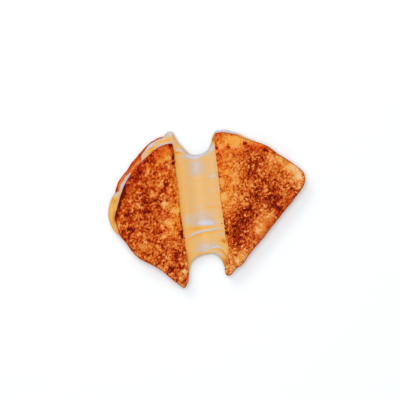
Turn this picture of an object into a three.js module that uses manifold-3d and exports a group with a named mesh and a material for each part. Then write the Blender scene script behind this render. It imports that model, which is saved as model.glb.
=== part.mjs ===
// A grilled cheese sandwich, cut corner to corner and pulled apart so that the melted cheese
// stretches between its two halves. Millimetres, +Z up, lying on its bottom slices.
// Five solids: a top and a bottom slice of toast in each half, and one sheet of cheese that
// runs through both halves and bridges the gap.
import * as THREE from "three";
import { mergeVertices } from "three/addons/utils/BufferGeometryUtils.js";
import Module from "manifold-3d";

const wasm = await Module();
wasm.setup();

// ---------- driving dimensions ----------
const SLICE_THICKNESS = 10; // a pressed, toasted slice
const CRUST_RADIUS = 3.4; // rounding where the toasted face meets the crust
const CRUST_WAIST = 0.5; // how far the crust draws in at half its height
const CUT_RADIUS = 0.7; // the knife leaves a nearly sharp edge
const KNIFE_DIP = 1.4; // the knife presses the top slice down this far at the cut
const KNIFE_DIP_REACH = 9; // and this far back from the cut
const CLEARANCE = 0.35; // between the cheese and the bread around it
const CHEESE_SWELL = 0.9; // the cheese swells this far past the bread's inner faces outside it
const CHEESE_EDGE = 2.6; // width of the cheese's rounded edge
const WEB_SAG = 4.2; // how far the stretched cheese hangs at the middle of the gap
const WEB_THICKNESS = 2.8; // stretched cheese, at the middle of the gap
const WEB_RIM = 1.2; // extra thickness along the free edges of the stretched cheese
const WEB_RIM_WIDTH = 6;
const WEB_START = 0.08; // share of the gap, at each side, where the cheese isn't stretched yet
const SAMPLES_PER_SPAN = 3; // points between two neighbouring outline points
const CHEESE_COLUMNS = 56;
const CHEESE_ROWS = 18;
const COLUMN_STEPS = 1200; // fineness of the walk along the outline that places the columns
const COLUMN_RISE_WEIGHT = 0.45; // how much a steep outline draws the columns together
const MERGE_DISTANCE = 1e-4;

// ---------- outlines, in plan ----------
// The knife's two lines, from the far corner of a half to its near tip.
const LEFT_CUT = [
  [-34.4, 66.6], [-32.2, 53.9], [-30.9, 36.9], [-28.7, 20.9], [-26.4, -3.1],
  [-23.6, -21.1], [-21.7, -36.1], [-19.5, -53.1], [-18.2, -64.0], [-18.6, -72.0], [-22.2, -78.6],
];
const RIGHT_CUT = [
  [8.0, 76.2], [8.0, 66.9], [9.3, 56.9], [10.8, 43.9], [12.3, 28.9], [13.6, 16.9],
  [15.3, 0.9], [17.2, -11.1], [18.8, -25.6], [20.9, -32.0], [22.5, -38.6], [22.2, -45.0],
  [20.2, -51.0], [18.6, -57.1], [18.8, -63.1], [21.2, -65.9],
];
// The crust of each slice, from the near tip round to the far corner.
const LEFT_TOP_CRUST = [
  [-22.2, -78.6], [-26.0, -76.0], [-34.3, -69.9], [-43.7, -61.6], [-56.6, -54.2],
  [-66.2, -49.4], [-73.6, -42.8], [-80.7, -33.0], [-86.6, -26.0], [-89.7, -16.0],
  [-91.6, -8.1], [-89.6, 1.6], [-86.2, 13.9], [-81.9, 25.9], [-75.9, 36.2],
  [-68.2, 45.6], [-60.2, 53.0], [-50.9, 61.0], [-42.2, 65.4], [-34.4, 66.6],
];
const LEFT_BOTTOM_CRUST = [
  [-22.2, -77.6], [-27.4, -73.6], [-36.4, -67.0], [-51.8, -56.0], [-66.2, -47.6],
  [-79.0, -34.8], [-87.4, -24.0], [-93.0, -15.0], [-94.6, -4.3], [-93.6, 5.9],
  [-92.4, 15.4], [-90.8, 23.4], [-86.6, 31.8], [-80.2, 39.6], [-76.2, 46.6],
  [-70.6, 53.0], [-62.4, 62.6], [-57.2, 67.4], [-50.4, 71.6], [-42.3, 74.0], [-35.4, 74.4],
];
const RIGHT_TOP_CRUST = [
  [21.2, -65.9], [24.6, -64.6], [29.6, -58.6], [36.0, -54.4], [40.4, -47.6], [46.8, -39.4],
  [55.6, -29.2], [70.2, -10.6], [80.8, 2.6], [91.4, 16.0], [97.0, 24.4], [98.8, 31.4],
  [97.2, 37.4], [91.4, 43.0], [81.6, 49.9], [70.8, 56.6], [62.8, 62.8], [55.6, 66.2],
  [47.0, 68.6], [38.4, 71.6], [30.4, 75.2], [22.0, 77.2], [14.4, 77.9], [8.0, 76.2],
];
const RIGHT_BOTTOM_CRUST = [
  [21.2, -65.2], [24.2, -63.0], [33.0, -53.6], [43.9, -38.4], [66.0, -11.6], [87.0, 13.2],
  [93.4, 22.3], [96.0, 30.0], [94.6, 36.6], [89.4, 42.4], [70.0, 55.2], [61.4, 63.0],
  [52.4, 67.8], [43.1, 70.6], [33.6, 73.8], [24.4, 76.8], [15.2, 78.0], [8.0, 76.8],
];
// The cheese lies between a near and a far line, both from left to right.
const CHEESE_NEAR = [
  [-99.0, -4.6], [-98.0, -10.6], [-95.4, -17.2], [-91.6, -22.6], [-85.8, -27.0],
  [-79.4, -33.2], [-72.6, -42.2], [-65.6, -48.6], [-55.8, -53.8], [-43.2, -60.6],
  [-34.0, -69.0], [-26.6, -74.4], [-22.4, -77.8], [-19.2, -74.0], [-17.9, -66.0],
  [-17.2, -58.6], [-15.8, -53.6], [-12.3, -49.8], [-6.7, -46.8], [-0.6, -45.1],
  [6.5, -44.4], [11.9, -46.2], [15.4, -50.0], [17.2, -55.3], [18.7, -61.0], [21.4, -65.0],
  [24.6, -62.8], [29.0, -58.0], [35.0, -53.6], [45.8, -38.8], [68.2, -11.6],
  [88.7, 12.8], [95.4, 23.4], [97.4, 29.0],
];
const CHEESE_FAR = [
  [-99.0, -2.0], [-98.3, 3.0], [-96.2, 7.6], [-95.6, 11.2], [-93.8, 15.6], [-90.6, 17.6],
  [-86.6, 19.0], [-82.0, 24.0], [-77.6, 31.0], [-72.6, 38.0], [-67.0, 44.8], [-62.8, 51.0],
  [-59.0, 57.4], [-53.8, 63.4], [-48.6, 68.4], [-43.8, 73.0], [-40.0, 77.2], [-36.8, 79.2],
  [-33.2, 78.2], [-31.0, 71.0], [-26.9, 66.0], [-22.2, 61.6], [-18.0, 57.0], [-11.8, 55.4],
  [-5.2, 56.7], [0.4, 59.4], [3.8, 63.8], [4.6, 70.4], [6.2, 76.2], [9.6, 79.6],
  [15.2, 80.6], [23.9, 79.2], [34.0, 75.6], [43.2, 71.4], [56.0, 65.4], [71.0, 55.6],
  [81.0, 49.0], [91.2, 42.2], [96.2, 36.4], [97.4, 32.0],
];
// Where cheese has run out over the crust: how wide, how much it swells, and how it hangs.
const LOBES = [
  { at: [-98, -7], reach: 13, swell: 3.4, hang: 1.8 },
  { at: [-94, 12], reach: 6, swell: 2.2, hang: 0.6 },
  { at: [-36, 77], reach: 7, swell: 2.2, hang: 0.8 },
  { at: [9, 77], reach: 7, swell: 1.8, hang: 0.6 },
  { at: [-20, -72], reach: 6, swell: 1.0, hang: 0.4 },
];

// ---------- levels ----------
// The bread's faces against the cheese are planes, tilted a little, because the cheese isn't
// equally thick all over.
const plane = (level, slopeX, slopeY, atX) => (x, y) => level + slopeX * (x - atX) + slopeY * y;
const LEFT = { under: plane(10.2, -0.008, 0.005, -55), over: plane(15.3, -0.02, 0.008, -55) };
const RIGHT = { under: plane(10.1, 0.006, -0.004, 45), over: plane(15.1, 0.014, 0.008, 45) };
const FLOOR = () => 0;

// Gentle unevenness of a pressed and toasted face.
const faceRelief = (x, y) =>
  0.4 * Math.sin(x / 9.5 + 1.1) * Math.cos(y / 12 - 0.4) + 0.22 * Math.sin(x / 4.7 - y / 6.3);

// The upper toasted face of a half: parallel to the cheese, and pressed down along the cut.
const pressedFace = (level, cutLine) => (x, y) => {
  const pressed = 1 - THREE.MathUtils.smoothstep(distanceTo(cutLine, x, y), 0, KNIFE_DIP_REACH);
  return level(x, y) + SLICE_THICKNESS + faceRelief(x, y) - KNIFE_DIP * pressed;
};

// ---------- plan curves ----------
function sampleLine(points) {
  const corners = points.map(([x, y]) => new THREE.Vector3(x, y, 0));
  const curve = new THREE.CatmullRomCurve3(corners, false, "catmullrom", 0.5);
  const samples = curve.getPoints((points.length - 1) * SAMPLES_PER_SPAN);
  return samples.map((p) => new THREE.Vector2(p.x, p.y));
}

// A closed outline, counterclockwise from above, that knows which points are on the crust.
function closedOutline(cutPoints, crustPoints) {
  const sides = [sampleLine(cutPoints), sampleLine(crustPoints)];
  const outline = sides.flatMap((side, i) =>
    side.slice(0, -1).map((point) => ({ point, crust: i === 1 })));
  return THREE.ShapeUtils.isClockWise(outline.map((o) => o.point)) ? outline.reverse() : outline;
}

function outwardNormals(outline) {
  const count = outline.length;
  return outline.map((_, i) => {
    const before = outline[(i + count - 1) % count].point;
    const along = outline[(i + 1) % count].point.clone().sub(before).normalize();
    return new THREE.Vector2(along.y, -along.x);
  });
}

function distanceTo(line, x, y) {
  let nearest = Infinity;
  for (let i = 0; i + 1 < line.length; i++) {
    const [a, b] = [line[i], line[i + 1]];
    const [dx, dy] = [b.x - a.x, b.y - a.y];
    const along = ((x - a.x) * dx + (y - a.y) * dy) / (dx * dx + dy * dy);
    const t = THREE.MathUtils.clamp(along, 0, 1);
    nearest = Math.min(nearest, Math.hypot(x - a.x - t * dx, y - a.y - t * dy));
  }
  return nearest;
}

// Where a line that always runs one way along one axis is on the other axis.
function crossing(line, axis, value) {
  const other = axis === "x" ? "y" : "x";
  const rising = line[line.length - 1][axis] > line[0][axis];
  for (let i = 0; i + 1 < line.length; i++) {
    const [a, b] = [line[i], line[i + 1]];
    if (rising ? value <= b[axis] : value >= b[axis]) {
      const t = THREE.MathUtils.clamp((value - a[axis]) / (b[axis] - a[axis] || 1), 0, 1);
      return THREE.MathUtils.lerp(a[other], b[other], t);
    }
  }
  return line[line.length - 1][other];
}

// ---------- bread ----------
// A closed solid from rings of points, lowest ring first, with a point closing each end.
function ringsGeometry(lowest, rings, highest) {
  const count = rings[0].length;
  const positions = [lowest, ...rings.flat(), highest].flatMap((p) => [p.x, p.y, p.z]);
  const vertex = (ring, i) => 1 + ring * count + (i % count);
  const last = 1 + rings.length * count;
  const index = [];
  for (let i = 0; i < count; i++) {
    index.push(0, vertex(0, i + 1), vertex(0, i));
    for (let r = 0; r + 1 < rings.length; r++) {
      const [a, b] = [vertex(r, i), vertex(r, i + 1)];
      const [c, d] = [vertex(r + 1, i + 1), vertex(r + 1, i)];
      index.push(a, b, c, a, c, d);
    }
    index.push(last, vertex(rings.length - 1, i), vertex(rings.length - 1, i + 1));
  }
  return new THREE.BufferGeometry()
    .setAttribute("position", new THREE.Float32BufferAttribute(positions, 3))
    .setIndex(index);
}

// Rings of a slice from its inner face to its toasted face. up is a share of the thickness,
// inset a share of the edge radius, waist a share of the crust's waist, and core a share of
// the way out from the middle.
const SLICE_RINGS = [
  { up: 0, core: 0.5 },
  { up: 0, inset: 0.25 },
  { up: 0.1, inset: 0 },
  { up: 0.42, inset: 0, waist: 1 },
  { up: 0.68, inset: 0 },
  { up: 0.9, inset: 0.3 },
  { up: 1, inset: 1 },
  { up: 1, core: 0.76 },
  { up: 1, core: 0.48 },
  { up: 1, core: 0.2 },
];

// outset grows the slice all over, to make room for it in the cheese.
function sliceGeometry({ outline, innerFace, toastedFace }, outset = 0) {
  const normals = outwardNormals(outline);
  const centre = outline
    .reduce((sum, o) => sum.add(o.point), new THREE.Vector2())
    .divideScalar(outline.length);
  const facing = Math.sign(toastedFace(centre.x, centre.y) - innerFace(centre.x, centre.y));
  const at = ({ x, y }, up) => {
    const inner = innerFace(x, y) - facing * outset;
    const toasted = toastedFace(x, y) + facing * outset;
    return new THREE.Vector3(x, y, THREE.MathUtils.lerp(inner, toasted, up));
  };
  const rings = SLICE_RINGS.map(({ up, core = 1, inset = 1, waist = 0 }) =>
    outline.map(({ point, crust }, i) => {
      const [radius, drawnIn] = crust ? [CRUST_RADIUS, CRUST_WAIST] : [CUT_RADIUS, 0];
      const reach = outset - inset * radius - waist * drawnIn;
      const edge = point.clone().addScaledVector(normals[i], reach);
      return at(edge.sub(centre).multiplyScalar(core).add(centre), up);
    }));
  const [innerEnd, toastedEnd] = [at(centre, 0), at(centre, 1)];
  return facing > 0
    ? ringsGeometry(innerEnd, rings, toastedEnd)
    : ringsGeometry(toastedEnd, rings.reverse(), innerEnd);
}

const leftCut = sampleLine(LEFT_CUT);
const rightCut = sampleLine(RIGHT_CUT);

// A bottom slice has the top one's cut, between the ends of its own crust.
function bottomOutline(cut, crust) {
  return closedOutline([crust[crust.length - 1], ...cut.slice(1, -1), crust[0]], crust);
}

const SLICES = {
  left_bottom_slice: {
    outline: bottomOutline(LEFT_CUT, LEFT_BOTTOM_CRUST),
    innerFace: LEFT.under,
    toastedFace: FLOOR,
  },
  left_top_slice: {
    outline: closedOutline(LEFT_CUT, LEFT_TOP_CRUST),
    innerFace: LEFT.over,
    toastedFace: pressedFace(LEFT.over, leftCut),
  },
  right_bottom_slice: {
    outline: bottomOutline(RIGHT_CUT, RIGHT_BOTTOM_CRUST),
    innerFace: RIGHT.under,
    toastedFace: FLOOR,
  },
  right_top_slice: {
    outline: closedOutline(RIGHT_CUT, RIGHT_TOP_CRUST),
    innerFace: RIGHT.over,
    toastedFace: pressedFace(RIGHT.over, rightCut),
  },
};

// ---------- cheese ----------
const nearLine = sampleLine(CHEESE_NEAR);
const farLine = sampleLine(CHEESE_FAR);
const cheeseOutline = [...nearLine, ...farLine.toReversed(), nearLine[0]];

// Middle level and half thickness of the cheese at a point.
function cheeseAt(x, y) {
  const [left, right] = [crossing(leftCut, "y", y), crossing(rightCut, "y", y)];
  const across = THREE.MathUtils.clamp((x - left) / (right - left), 0, 1);
  const level = (face) => THREE.MathUtils.lerp(LEFT[face](x, y), RIGHT[face](x, y), across);
  let middle = (level("under") + level("over")) / 2;
  let half = (level("over") - level("under")) / 2 + CHEESE_SWELL;
  for (const { at, reach, swell, hang } of LOBES) {
    const near = Math.exp(-((Math.hypot(x - at[0], y - at[1]) / reach) ** 2));
    middle -= hang * near;
    half += swell * near;
  }
  const overWeb = THREE.MathUtils.clamp((across - WEB_START) / (1 - 2 * WEB_START), 0, 1);
  const stretch = Math.sin(Math.PI * overWeb) ** 2;
  const fromEdge = distanceTo(cheeseOutline, x, y);
  const rim = WEB_RIM * (1 - THREE.MathUtils.smoothstep(fromEdge, 0, WEB_RIM_WIDTH));
  half = THREE.MathUtils.lerp(half, (WEB_THICKNESS + rim) / 2, stretch);
  const round = Math.sqrt(1 - (1 - Math.min(fromEdge / CHEESE_EDGE, 1)) ** 2);
  return { middle: middle - WEB_SAG * stretch, half: half * round };
}

// The columns stand closer together where the outline is steep.
function columnStations() {
  const [first, last] = [nearLine[0].x, nearLine[nearLine.length - 1].x];
  const fine = Array.from({ length: COLUMN_STEPS + 1 }, (_, i) =>
    THREE.MathUtils.lerp(first, last, i / COLUMN_STEPS));
  const travel = [0];
  for (let i = 1; i <= COLUMN_STEPS; i++) {
    const rises = [nearLine, farLine].map((line) =>
      COLUMN_RISE_WEIGHT * (crossing(line, "x", fine[i]) - crossing(line, "x", fine[i - 1])));
    travel.push(travel[i - 1] + Math.hypot(fine[i] - fine[i - 1], ...rises));
  }
  return Array.from({ length: CHEESE_COLUMNS }, (_, column) => {
    const wanted = (travel[COLUMN_STEPS] * column) / CHEESE_COLUMNS;
    return fine[travel.findIndex((t) => t >= wanted)];
  }).concat(last);
}

// The rows of one column: one extra close to each edge, for the rounding, and the rest even.
function rowStations(near, far) {
  const outer = Math.min(CHEESE_EDGE / 3, (far - near) / 8);
  const inner = Math.min(CHEESE_EDGE, (far - near) / 4);
  const spans = CHEESE_ROWS - 4;
  const even = Array.from({ length: spans + 1 }, (_, i) =>
    THREE.MathUtils.lerp(near + inner, far - inner, i / spans));
  return [near, near + outer, ...even, far - outer, far];
}

// An upper and a lower sheet that share the points along the edge.
function cheeseGeometry() {
  const columns = columnStations().map((x) => {
    const rows = rowStations(crossing(nearLine, "x", x), crossing(farLine, "x", x));
    return rows.map((y) => ({ x, y, ...cheeseAt(x, y) }));
  });
  const [lastColumn, lastRow] = [columns.length - 1, columns[0].length - 1];
  const positions = [];
  const vertex = (x, y, z) => positions.push(x, y, z) / 3 - 1;
  const pairs = columns.map((column, c) => column.map(({ x, y, middle, half }, r) => {
    const onEdge = c === 0 || c === lastColumn || r === 0 || r === lastRow;
    if (onEdge) return Array(2).fill(vertex(x, y, middle));
    return [vertex(x, y, middle + half), vertex(x, y, middle - half)];
  }));
  const index = [];
  for (let c = 0; c < lastColumn; c++) {
    for (let r = 0; r < lastRow; r++) {
      const corners = [pairs[c][r], pairs[c + 1][r], pairs[c + 1][r + 1], pairs[c][r + 1]];
      const [a, b, d, e] = corners.map(([upper]) => upper);
      index.push(a, b, d, a, d, e);
      const [f, g, h, i] = corners.map(([, lower]) => lower);
      index.push(f, h, g, f, i, h);
    }
  }
  return new THREE.BufferGeometry()
    .setAttribute("position", new THREE.Float32BufferAttribute(positions, 3))
    .setIndex(index);
}

// ---------- cutting room for the bread out of the cheese ----------
function solidOf(geometry) {
  const merged = mergeVertices(geometry, MERGE_DISTANCE);
  return new wasm.Manifold(new wasm.Mesh({
    numProp: 3,
    vertProperties: new Float32Array(merged.attributes.position.array),
    triVerts: new Uint32Array(merged.index.array),
  }));
}

function geometryOf(solid) {
  const mesh = solid.getMesh();
  return new THREE.BufferGeometry()
    .setAttribute("position", new THREE.BufferAttribute(mesh.vertProperties, mesh.numProp))
    .setIndex(new THREE.BufferAttribute(mesh.triVerts, 1));
}

function fittedCheese() {
  const rooms = Object.values(SLICES).map((slice) => solidOf(sliceGeometry(slice, CLEARANCE)));
  const trimmed = rooms.reduce((rest, room) => rest.subtract(room), solidOf(cheeseGeometry()));
  const bodies = trimmed.decompose().sort((a, b) => b.volume() - a.volume());
  return geometryOf(bodies[0]);
}

// ---------- the sandwich ----------
const TOAST = { color: 0xc9742a, roughness: 0.7, metalness: 0 };
const CHEESE = { color: 0xe9ad5c, roughness: 0.35, metalness: 0 };

function piece(name, geometry, finish) {
  const mesh = new THREE.Mesh(geometry, new THREE.MeshStandardMaterial(finish));
  mesh.name = name;
  return mesh;
}

const sandwich = new THREE.Group();
sandwich.name = "grilled_cheese_sandwich";
for (const [name, slice] of Object.entries(SLICES)) {
  sandwich.add(piece(name, sliceGeometry(slice), TOAST));
}
sandwich.add(piece("cheese", fittedCheese(), CHEESE));

// The origin is the middle of the footprint, on the surface that the sandwich lies on.
const box = new THREE.Box3().setFromObject(sandwich);
const middle = box.getCenter(new THREE.Vector3());
for (const mesh of sandwich.children) mesh.geometry.translate(-middle.x, -middle.y, -box.min.z);

export default sandwich;
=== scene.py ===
"""Finish of a grilled cheese sandwich: toasted bread with its crust and crumb, melted cheese
stretched between the two halves, and a plain studio around it. Lengths are in metres, and the
details that are listed one by one are in millimetres."""

import itertools
from collections import namedtuple

import bmesh
import bpy
import numpy as np
from bpy.props import FloatProperty, FloatVectorProperty, PointerProperty
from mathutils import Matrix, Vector, kdtree


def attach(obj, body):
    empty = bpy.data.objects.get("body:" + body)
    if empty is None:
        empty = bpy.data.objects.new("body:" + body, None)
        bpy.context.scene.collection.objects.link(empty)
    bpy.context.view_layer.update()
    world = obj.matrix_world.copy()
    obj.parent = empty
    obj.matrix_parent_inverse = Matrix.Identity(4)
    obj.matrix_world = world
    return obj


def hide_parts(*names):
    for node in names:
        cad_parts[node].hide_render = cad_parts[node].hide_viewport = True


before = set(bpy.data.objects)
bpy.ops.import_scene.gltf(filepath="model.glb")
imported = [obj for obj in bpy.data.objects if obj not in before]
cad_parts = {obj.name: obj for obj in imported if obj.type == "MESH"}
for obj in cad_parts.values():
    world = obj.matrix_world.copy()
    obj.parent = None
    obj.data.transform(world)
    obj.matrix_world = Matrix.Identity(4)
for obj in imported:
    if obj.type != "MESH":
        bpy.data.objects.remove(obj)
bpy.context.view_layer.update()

bl_info = {
    "name": "Grilled Cheese Sandwich",
    "version": (1, 0, 0),
    "blender": (4, 5, 0),
    "location": "View3D > Sidebar > Sandwich",
    "description": "Bakes the toast, melts the cheese and sets the studio around a packed sandwich",
    "category": "Add Mesh",
}

MM = 0.001
BODY = "root"


def tint(red, green, blue):
    """A colour as it looks on a screen, 0 to 255, as the linear values that Blender wants."""
    def linear(value):
        value /= 255
        return value / 12.92 if value <= 0.04045 else ((value + 0.055) / 1.055) ** 2.4
    return (linear(red), linear(green), linear(blue))


# ------------------------ settings

def length_setting(name, description, default):
    return FloatProperty(name=name, description=description, default=default, min=0,
                         subtype="DISTANCE", unit="LENGTH")


def number_setting(name, description, default, least=0):
    return FloatProperty(name=name, description=description, default=default, min=least)


def colour_setting(name, description, default):
    return FloatVectorProperty(name=name, description=description, default=tint(*default),
                               size=3, min=0, max=1, subtype="COLOR")


class BreadSettings(bpy.types.PropertyGroup):
    mesh_step: length_setting("Mesh step", "Spacing of the points of a slice's surface", 0.5 * MM)
    fleck_size: length_setting("Fleck size", "Width of the smallest flecks in the toast", 1.5 * MM)
    pit_depth: length_setting("Pit depth", "Depth of the pale pits in a toasted face", 0.35 * MM)
    grit: length_setting("Grit", "Height of the fine roughness of the toast", 0.12 * MM)
    pore_size: length_setting("Pore size", "Width of the common pores in the crumb", 2.3 * MM)
    pore_depth: length_setting("Pore depth", "Depth of the pores in the crumb", 1.1 * MM)
    fray: length_setting("Fray", "How far the toast's cut edge is frayed", 0.7 * MM)
    wrinkle: length_setting("Crust wrinkle", "Height of the wrinkles in the crust", 0.3 * MM)
    swell: length_setting("Swell", "How far a slice swells at its sides", 0.35 * MM)
    rim_width: length_setting("Crust rim", "Width of the crust, seen from above", 3.2 * MM)
    toasted_depth: length_setting("Toasted depth", "How deep the toasting goes", 1.5 * MM)
    pale: colour_setting("Pale", "Palest toast", (227, 188, 144))
    light: colour_setting("Light", "Light toast", (217, 159, 93))
    golden: colour_setting("Golden", "Golden toast", (208, 132, 64))
    brown: colour_setting("Brown", "Brown toast", (194, 98, 37))
    russet: colour_setting("Russet", "Red-brown toast", (167, 57, 12))
    dark: colour_setting("Dark", "Dark brown toast", (140, 34, 8))
    burnt: colour_setting("Burnt", "Burnt toast", (106, 19, 8))
    char: colour_setting("Char", "Blackened toast", (70, 10, 7))
    warm: colour_setting("Warmth", "Tint of the most buttery places", (255, 232, 140))
    ruddy: colour_setting("Ruddiness", "Tint of the reddest places", (255, 202, 222))
    crust_light: colour_setting("Light crust", "Glazed crust where it is light", (226, 134, 66))
    crust: colour_setting("Crust", "Glazed crust", (206, 86, 30))
    side_light: colour_setting("Light side", "Dry crust where it is light", (202, 140, 78))
    side: colour_setting("Side", "Dry crust", (172, 96, 42))
    side_dark: colour_setting("Dark side", "Dry crust where it is dark", (132, 62, 24))
    crumb: colour_setting("Crumb", "White crumb", (200, 197, 204))
    crumb_cut: colour_setting("Cut crumb", "Crumb where the bread is cut", (232, 214, 184))


class CheeseSettings(bpy.types.PropertyGroup):
    mesh_step: length_setting("Mesh step", "Spacing of the points of the cheese", 0.7 * MM)
    cling: length_setting("Cling", "How far the cheese presses into the bread", 0.45 * MM)
    lumps: length_setting("Lumps", "Height of the lumps along the edge", 0.5 * MM)
    climb: length_setting("Climb", "How far the cheese climbs the cut bread", 1.7 * MM)
    deep: colour_setting("Deep", "Thick, folded cheese", (200, 118, 42))
    yellow: colour_setting("Yellow", "Cheese against the bread", (227, 167, 80))
    cream: colour_setting("Cream", "Stretched cheese", (220, 177, 115))
    pale: colour_setting("Pale", "Thinly stretched cheese", (202, 180, 159))
    # Painted highlight, pale lavender, at the low end of the cheese's tone; the thinnest, milky
    # cheese also has it.
    milky_highlight: colour_setting("Milky", "The thinnest, milky cheese", (198, 196, 207))
    speck: colour_setting("Speck", "Toast crumbs stuck in the cheese", (92, 52, 20))


class StageSettings(bpy.types.PropertyGroup):
    lens: number_setting("Lens", "Focal length in millimetres", 200, least=1)
    view_width: length_setting("View width", "Width that the camera takes in", 0.4)
    key_power: number_setting("Key light", "Power of the key light in watts", 16.3)
    overhead_power: number_setting("Overhead light", "Power of the overhead light in watts", 46.5)
    sky: number_setting("Sky", "Strength of the white surroundings", 0.45)
    floor_size: length_setting("Floor size", "Side of the square floor", 9.0)


# ------------------------ random surfaces

# Random surfaces are the same in every run. Large odd numbers stir the bits of a cell's place and
# of the seed.
STIR_PLACE = (0x9E3779B185EBCA87, 0xC2B2AE3D27D4EB4F, 0x165667B19E3779F9)
STIR_SEED = 0x27D4EB2F165667C5
STIR_ROUNDS = ((30, 0xBF58476D1CE4E5B9), (27, 0x94D049BB133111EB))
LAST_SHIFT = 31
NUMBER_BITS = 21
# Brings the heights of grain up to about -1 to 1.
GRAIN_GAIN = 1.7
# Makes another random number from the first of the three that place a bubble.
CHANCE_FACTOR = 7.31
# How wide a curly line is, in the height of its grain, and the power that sharpens flecks.
CURL_WIDTH = 0.42
SHARPNESS = 0.75


def scatter(cell, seed):
    """Three even random numbers, 0 to 1, for each whole-numbered cell."""
    x, y, z = cell.astype(np.int64).astype(np.uint64).T
    stir_x, stir_y, stir_z = (np.uint64(number) for number in STIR_PLACE)
    mixed = (x * stir_x) ^ (y * stir_y)
    mixed ^= (z * stir_z) + np.uint64(seed * STIR_SEED % 2 ** 64)
    for shift, factor in STIR_ROUNDS:
        mixed ^= mixed >> np.uint64(shift)
        mixed *= np.uint64(factor)
    mixed ^= mixed >> np.uint64(LAST_SHIFT)
    low_bits = np.uint64(2 ** NUMBER_BITS - 1)
    thirds = [(mixed >> np.uint64(NUMBER_BITS * i)) & low_bits for i in range(3)]
    return np.stack(thirds, axis=1).astype(float) / float(low_bits)


def grain(points, size, seed):
    """Smooth random height, about -1 to 1, with lumps as wide as size."""
    place = points / size
    cell = np.floor(place)
    inside = place - cell
    ease = inside ** 3 * (inside * (inside * 6 - 15) + 10)
    total = np.zeros(len(points))
    for corner in itertools.product((0, 1), repeat=3):
        slope = 2 * scatter(cell + corner, seed) - 1
        rise = ((inside - corner) * slope).sum(axis=1)
        total += rise * np.where(corner, ease, 1 - ease).prod(axis=1)
    return GRAIN_GAIN * total


def bubbles(points, size, seed):
    """Distance to the middle of the nearest bubble, in sizes, and that bubble's own random
    number, 0 to 1."""
    place = points / size
    cell = np.floor(place)
    nearest = np.full(len(points), np.inf)
    chance = np.zeros(len(points))
    for step in itertools.product((-1, 0, 1), repeat=3):
        spot = scatter(cell + step, seed)
        away = np.linalg.norm(cell + step + spot - place, axis=1)
        closer = away < nearest
        nearest = np.where(closer, away, nearest)
        chance = np.where(closer, spot[:, 0] * CHANCE_FACTOR % 1, chance)
    return nearest, chance


def drift(points, size, seed):
    """A smooth random shift for each point, about -1 to 1 each way."""
    return np.stack([grain(points, size, seed + i) for i in range(3)], axis=1)


def curls(points, size, seed):
    """Thin curly lines: 1 on a line, -1 well away from one."""
    return 1 - 2 * ease_between(0, CURL_WIDTH, np.abs(grain(points, size, seed)))


def sharpened(values):
    """Values around 0, with steeper steps between low and high."""
    return np.sign(values) * np.abs(values) ** SHARPNESS


def ease_between(low, high, value):
    """0 below low, 1 above high, and smooth between."""
    t = np.clip((value - low) / (high - low), 0, 1)
    return t * t * (3 - 2 * t)


def even_shares(values, among):
    """The share of the values at the chosen points that lies below each value, 0 to 1."""
    chosen = np.sort(values[among])
    return np.interp(values, chosen, np.linspace(0, 1, len(chosen)))


def distance_to_line(points, line):
    """Distance in plan from each point to a broken line, and the share of the way along it."""
    best = np.full(len(points), np.inf)
    along = np.zeros(len(points))
    for i, (start, end) in enumerate(zip(line, line[1:])):
        start, run = np.array(start), np.subtract(end, start)
        t = np.clip((points[:, :2] - start) @ run / (run @ run), 0, 1)
        away = np.linalg.norm(points[:, :2] - start - t[:, None] * run, axis=1)
        closer = away < best
        best = np.where(closer, away, best)
        along = np.where(closer, (i + t) / (len(line) - 1), along)
    return best, along


# ------------------------ meshes

WELD_DISTANCE = 0.01 * MM
ROUNDING_LEVELS = 2
SMOOTHING_SHARE = 0.5


def new_object(name, data):
    made = bpy.data.objects.new(name, data)
    bpy.context.scene.collection.objects.link(made)
    return made


def fine_copy(node, name, step, rounds):
    """A new piece with a CAD node's shape, as an even mesh with points about one step apart,
    smoothed for a number of rounds."""
    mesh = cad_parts[node].data.copy()
    shape = bmesh.new()
    shape.from_mesh(mesh)
    bmesh.ops.remove_doubles(shape, verts=shape.verts, dist=WELD_DISTANCE)
    shape.to_mesh(mesh)
    shape.free()
    draft = new_object(name + "_draft", mesh)
    rounding = draft.modifiers.new("rounding", "SUBSURF")
    rounding.levels = ROUNDING_LEVELS
    remesh = draft.modifiers.new("even", "REMESH")
    remesh.mode = "VOXEL"
    remesh.voxel_size = step
    smooth = draft.modifiers.new("smooth", "SMOOTH")
    smooth.factor = SMOOTHING_SHARE
    smooth.iterations = rounds
    evaluated = draft.evaluated_get(bpy.context.evaluated_depsgraph_get())
    fine = bpy.data.meshes.new_from_object(evaluated)
    fine.name = name
    bpy.data.objects.remove(draft)
    bpy.data.meshes.remove(mesh)
    fine.materials.clear()
    return new_object(name, fine)


def vectors_of(items, field):
    """The field of each item, which is three numbers, as rows."""
    flat = np.empty(len(items) * 3)
    items.foreach_get(field, flat)
    return flat.reshape(-1, 3)


def points_and_normals(mesh):
    return vectors_of(mesh.vertices, "co"), vectors_of(mesh.vertex_normals, "vector")


def move_points(mesh, points):
    mesh.vertices.foreach_set("co", points.ravel())
    mesh.update()


def paint(mesh, **layers):
    """Writes each layer as a number on every point, for the materials to read."""
    for name, values in layers.items():
        layer = mesh.attributes.new(name, "FLOAT", "POINT")
        layer.data.foreach_set("value", np.asarray(values, dtype=np.float32))


def smoothed(mesh, values, rounds):
    """The values, each blended half and half with its neighbours' a number of times."""
    ends = np.empty(len(mesh.edges) * 2, dtype=np.int64)
    mesh.edges.foreach_get("vertices", ends)
    a, b = ends.reshape(-1, 2).T
    count = len(mesh.vertices)
    degree = np.bincount(a, minlength=count) + np.bincount(b, minlength=count)
    for _ in range(rounds):
        total = np.bincount(a, values[b], count) + np.bincount(b, values[a], count)
        values = 0.5 * values + 0.5 * total / degree
    return values


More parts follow.
